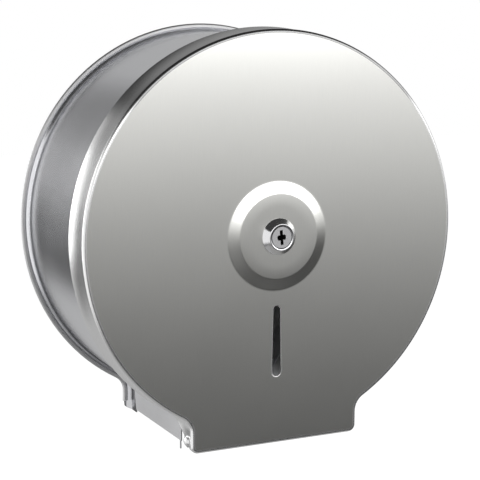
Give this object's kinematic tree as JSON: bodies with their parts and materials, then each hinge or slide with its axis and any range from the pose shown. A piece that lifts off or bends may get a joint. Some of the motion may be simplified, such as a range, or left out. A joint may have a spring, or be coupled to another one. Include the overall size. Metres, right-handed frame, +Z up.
{
  "type": "jumbo toilet roll dispenser",
  "caption": "Round stainless steel wall dispenser for a jumbo toilet roll, with a hinged and locked front cover, a sight slot, a hollow spindle and serrated tear blades.",
  "frame": {"origin": "middle of the round drum, on the wall plane that the back plate lies on", "axes": "+Z up, front cover faces -Y, +X to the right as seen from the front"},
  "size_m": [0.2728, 0.1318, 0.2834],
  "materials": {
    "cover_steel": "fine vertical brush",
    "plate_steel": "bright rolled sheet",
    "drum_steel": "satin, brushed round the drum",
    "blade_steel": "bright, pressed teeth",
    "inner_steel": "dull rolled sheet",
    "rivet_steel": "satin",
    "spacer_nylon": "natural nylon",
    "lock_chrome": "polished chrome",
    "zinc_steel": "zinc plated"
  },
  "bodies": {
    "base": {"back_plate": "plate_steel", "drum_band": "drum_steel", "left_cheek": "drum_steel", "right_cheek": "drum_steel", "left_tear_blade": "blade_steel", "right_tear_blade": "blade_steel", "left_hinge_bracket": "inner_steel", "right_hinge_bracket": "inner_steel", "left_hinge_spacer": "spacer_nylon", "right_hinge_spacer": "spacer_nylon", "left_hinge_pin": "rivet_steel", "right_hinge_pin": "rivet_steel", "spindle_foot": "inner_steel", "spindle_tube": "inner_steel", "lock_keeper": "inner_steel"},
    "cover": {"front_cover": "cover_steel", "lock_barrel": "lock_chrome", "lock_washer": "zinc_steel", "lock_nut": "zinc_steel"},
    "lock": {"lock_plug": "lock_chrome", "lock_cam": "zinc_steel", "cam_washer": "zinc_steel", "cam_screw": "zinc_steel"}
  },
  "joints": [
    {"name": "cover_hinge", "type": "hinge", "parent": "base", "child": "cover", "pos_m": [0, -0.1176, -0.1338], "axis": [1, 0, 0], "range_deg": [0, 105]},
    {"name": "lock_turn", "type": "hinge", "parent": "cover", "child": "lock", "pos_m": [0, -0.115, 0], "axis": [0, -1, 0], "range_deg": [0, 90]}
  ]
}
